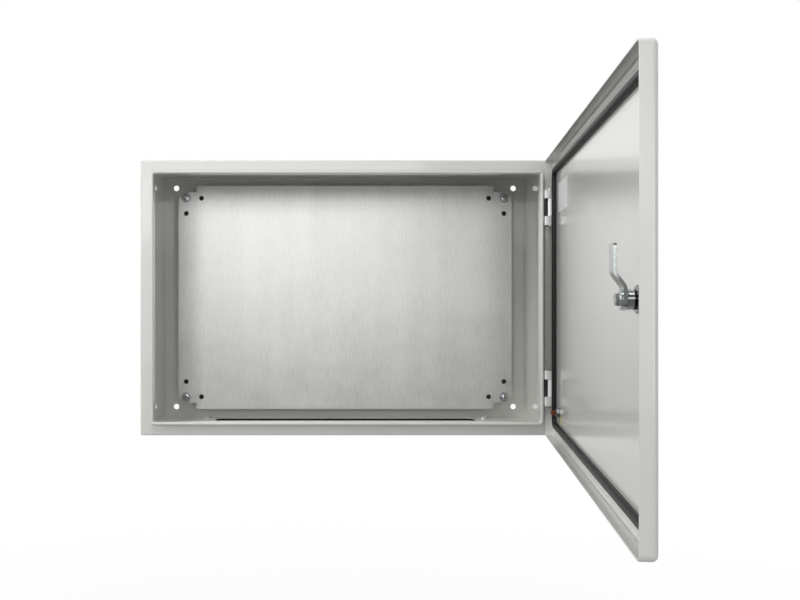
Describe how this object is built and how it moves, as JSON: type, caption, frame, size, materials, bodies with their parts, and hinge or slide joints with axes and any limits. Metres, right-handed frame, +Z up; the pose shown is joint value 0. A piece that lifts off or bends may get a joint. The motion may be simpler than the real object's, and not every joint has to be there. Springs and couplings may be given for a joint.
{
  "type": "wall enclosure",
  "caption": "Steel wall enclosure with a hinged door, cam lock, lipped front frame, mounting plate on studs and a gland plate.",
  "frame": {"origin": "centre of the four wall holes on the rear outer face", "axes": "+Z up, the front faces -Y, +X to the right seen from the front"},
  "size_m": [0.6015, 0.7771, 0.4086],
  "materials": {
    "painted_steel": "light grey powder coat, fine texture, semi-gloss",
    "galvanised_steel": "galvanised sheet, fine vertical grain",
    "zinc_plated_steel": "bright zinc plate, slightly blue",
    "cast_zinc": "die-cast zinc, satin",
    "coppered_steel": "copper-plated weld stud",
    "seal_foam": "matt black foamed polyurethane"
  },
  "bodies": {
    "enclosure": {"body_wrap": "painted_steel", "rear_wall": "painted_steel", "gland_plate": "painted_steel", "mounting_plate": "galvanised_steel", "plate_studs": "zinc_plated_steel", "plate_spacers": "zinc_plated_steel", "plate_washers": "zinc_plated_steel", "plate_nuts": "zinc_plated_steel", "gland_gasket": "seal_foam", "gland_screws": "zinc_plated_steel", "gland_nuts": "zinc_plated_steel", "hinge_bracket_upper": "cast_zinc", "hinge_bracket_lower": "cast_zinc", "hinge_pin_upper": "zinc_plated_steel", "hinge_pin_lower": "zinc_plated_steel", "hinge_bracket_screws": "zinc_plated_steel"},
    "door": {"door_panel": "painted_steel", "door_gasket": "seal_foam", "hinge_knuckle_upper": "cast_zinc", "hinge_knuckle_lower": "cast_zinc", "lock_housing": "cast_zinc", "lock_nut": "zinc_plated_steel", "lock_seal": "seal_foam", "door_earth_stud": "coppered_steel", "door_earth_nut": "zinc_plated_steel", "door_earth_washers": "zinc_plated_steel"},
    "cam": {"lock_barrel": "cast_zinc", "lock_cam": "zinc_plated_steel", "cam_washer": "zinc_plated_steel", "cam_bolt": "zinc_plated_steel"}
  },
  "joints": [
    {"name": "door_hinge", "type": "hinge", "parent": "enclosure", "child": "door", "pos_m": [0.2925, -0.191, 0], "axis": [0, 0, 1], "range_deg": [-82.55, 36]},
    {"name": "cam_turn", "type": "hinge", "parent": "door", "child": "cam", "pos_m": [0.22143, -0.72681, 0], "axis": [0.9916, -0.1297, 0], "range_deg": [0, 90]}
  ]
}
